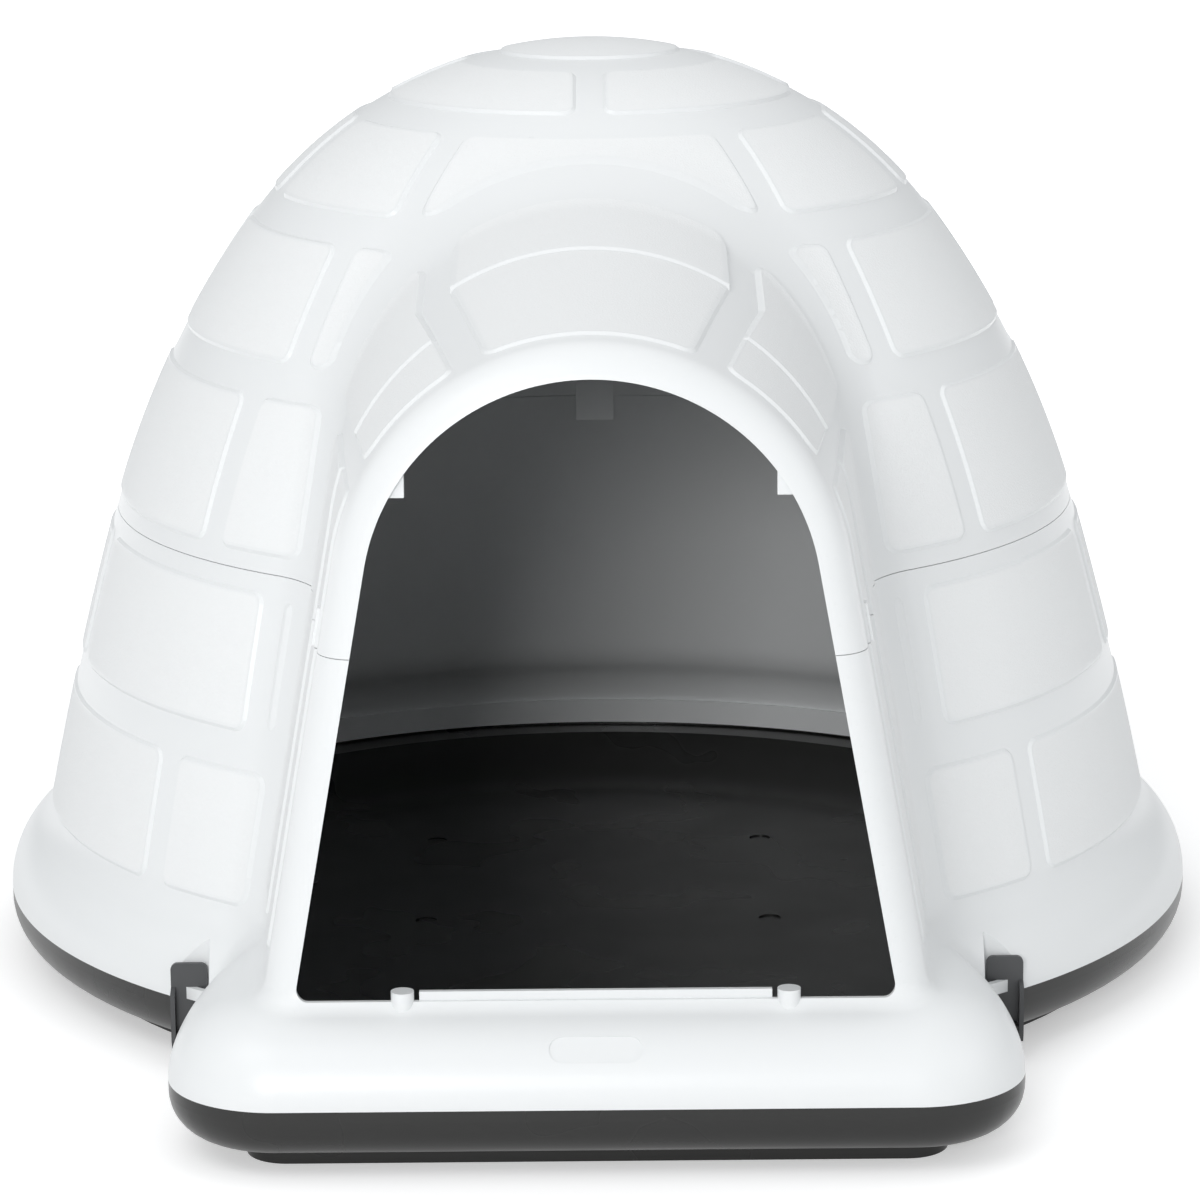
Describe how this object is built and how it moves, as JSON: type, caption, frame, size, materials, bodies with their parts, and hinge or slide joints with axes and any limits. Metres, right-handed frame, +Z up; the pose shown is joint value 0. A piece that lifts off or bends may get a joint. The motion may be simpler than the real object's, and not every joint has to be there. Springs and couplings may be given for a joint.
{
  "type": "dog house",
  "caption": "Igloo-shaped moulded plastic dog house with an arched entrance tunnel, block relief, a porch and a dark floor pan held by pivoting clips.",
  "frame": {"origin": "on the dome's vertical axis, in the plane of the foot plinth's underside", "axes": "+Z up, -Y out through the entrance, +X to the right seen from the front"},
  "size_m": [0.9467, 1.0793, 0.7167],
  "materials": {
    "shell": "satin",
    "pan": "gloss",
    "clip": "satin"
  },
  "bodies": {
    "house": {"upper_shell": "shell", "lower_shell": "shell", "base_pan": "pan"},
    "front_left_clip": {"front_left_clip": "clip"},
    "front_right_clip": {"front_right_clip": "clip"},
    "rear_left_clip": {"rear_left_clip": "clip"},
    "rear_right_clip": {"rear_right_clip": "clip"}
  },
  "joints": [
    {"name": "front_left_clip_pivot", "type": "hinge", "parent": "house", "child": "front_left_clip", "pos_m": [-0.299, -0.366, 0.022], "axis": [1, 0, 0], "range_deg": [0, 100]},
    {"name": "front_right_clip_pivot", "type": "hinge", "parent": "house", "child": "front_right_clip", "pos_m": [0.299, -0.366, 0.022], "axis": [1, 0, 0], "range_deg": [0, 100]},
    {"name": "rear_left_clip_pivot", "type": "hinge", "parent": "house", "child": "rear_left_clip", "pos_m": [-0.32668, 0.32668, 0.022], "axis": [-0.7071, -0.7071, 0], "range_deg": [0, 100]},
    {"name": "rear_right_clip_pivot", "type": "hinge", "parent": "house", "child": "rear_right_clip", "pos_m": [0.32668, 0.32668, 0.022], "axis": [-0.7071, 0.7071, 0], "range_deg": [0, 100]}
  ]
}
